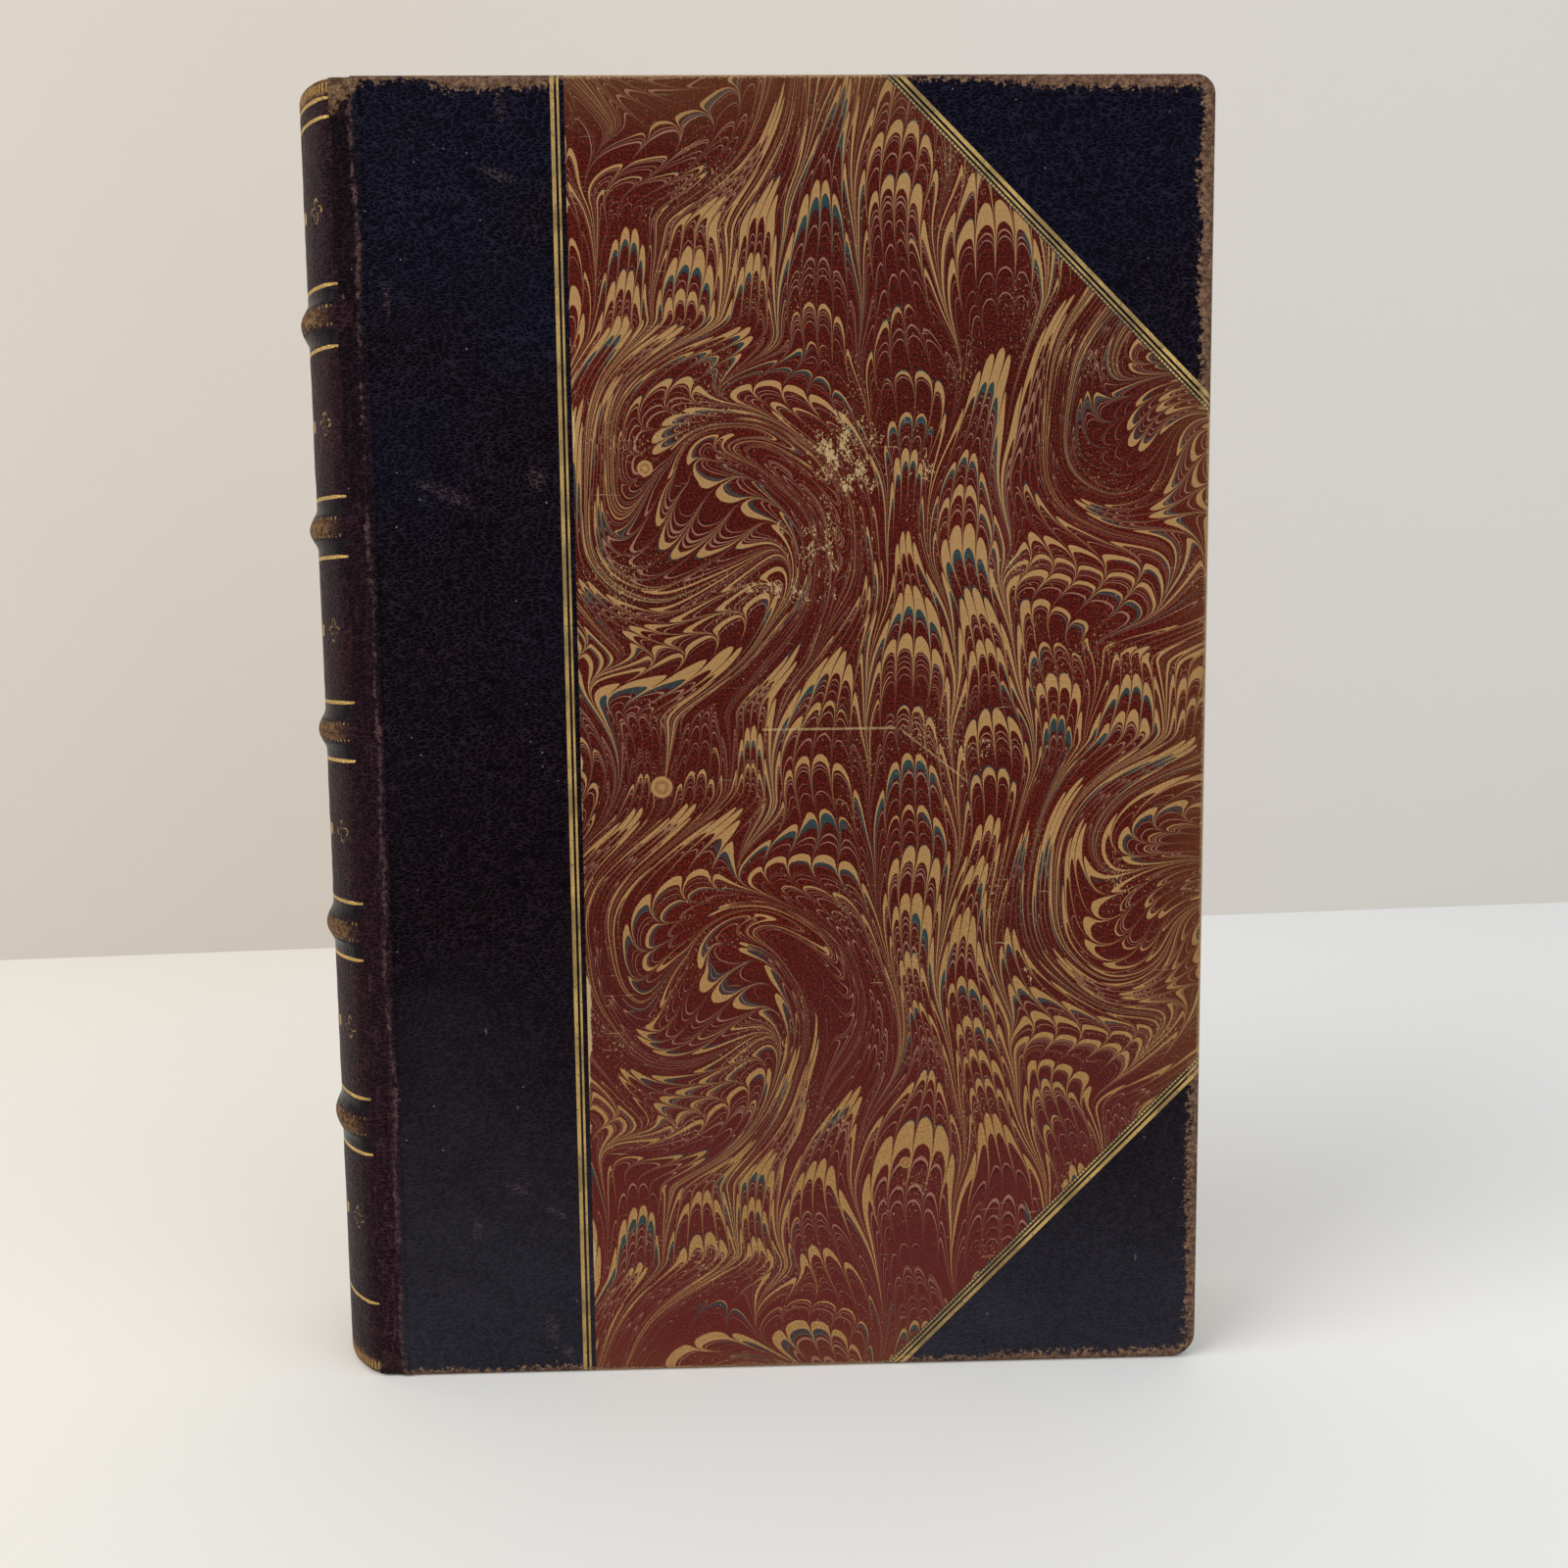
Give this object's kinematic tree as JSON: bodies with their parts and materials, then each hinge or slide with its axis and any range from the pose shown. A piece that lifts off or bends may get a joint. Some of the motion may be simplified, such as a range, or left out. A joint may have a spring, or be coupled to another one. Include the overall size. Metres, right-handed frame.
{
  "type": "half-leather hardback book",
  "caption": "Antiquarian hardback book in half leather with marbled paper sides, a rounded spine with raised bands, gilt rules and two covers that open on leather joints.",
  "frame": {"origin": "under the middle of the closed book, on the surface that its tail edges stand on", "axes": "+Z from tail to head, +X from the spine to the fore-edge, -Y out of the front cover"},
  "size_m": [0.1688, 0.038, 0.24],
  "materials": {
    "page_edges": "trimmed cream paper, lightly toned, with fine lines of leaves",
    "endpaper": "plain cream paper",
    "headband_silk": "wound silk in two colours",
    "lining": "plain kraft paper and mull",
    "cord": "twisted hemp cord",
    "spine_leather": "pebbled goatskin, faded to purple-brown, rubbed at the bands and caps",
    "cover_leather": "near-black navy pebbled goatskin with rubbed brown edges",
    "marbled_paper": "combed marbled paper in oxblood, ochre and slate, lightly burnished and scuffed",
    "gilt": "gold leaf tooled into the leather, slightly worn",
    "board": "grey-brown millboard"
  },
  "bodies": {
    "block": {"text_block": "page_edges", "front_flyleaf": "endpaper", "back_flyleaf": "endpaper", "headband": "headband_silk", "tailband": "headband_silk", "spine_lining": "lining", "band_core_1": "cord", "band_core_2": "cord", "band_core_3": "cord", "band_core_4": "cord", "band_core_5": "cord", "spine_leather": "spine_leather", "spine_gilt_rules": "gilt"},
    "front_cover": {"front_board": "board", "front_side_leather": "cover_leather", "front_head_corner": "cover_leather", "front_tail_corner": "cover_leather", "front_outer_fill": "lining", "front_inner_fill": "lining", "front_marbled_paper": "marbled_paper", "front_pastedown": "endpaper", "front_gilt_rules": "gilt"},
    "back_cover": {"back_board": "board", "back_side_leather": "cover_leather", "back_head_corner": "cover_leather", "back_tail_corner": "cover_leather", "back_outer_fill": "lining", "back_inner_fill": "lining", "back_marbled_paper": "marbled_paper", "back_pastedown": "endpaper", "back_gilt_rules": "gilt"}
  },
  "joints": [
    {"name": "front_cover_hinge", "type": "hinge", "parent": "block", "child": "front_cover", "pos_m": [-0.06985, -0.0191, 0.12], "axis": [0, 0, -1], "range_deg": [0, 180]},
    {"name": "back_cover_hinge", "type": "hinge", "parent": "block", "child": "back_cover", "pos_m": [-0.06985, 0.0191, 0.12], "axis": [0, 0, 1], "range_deg": [0, 180]}
  ]
}
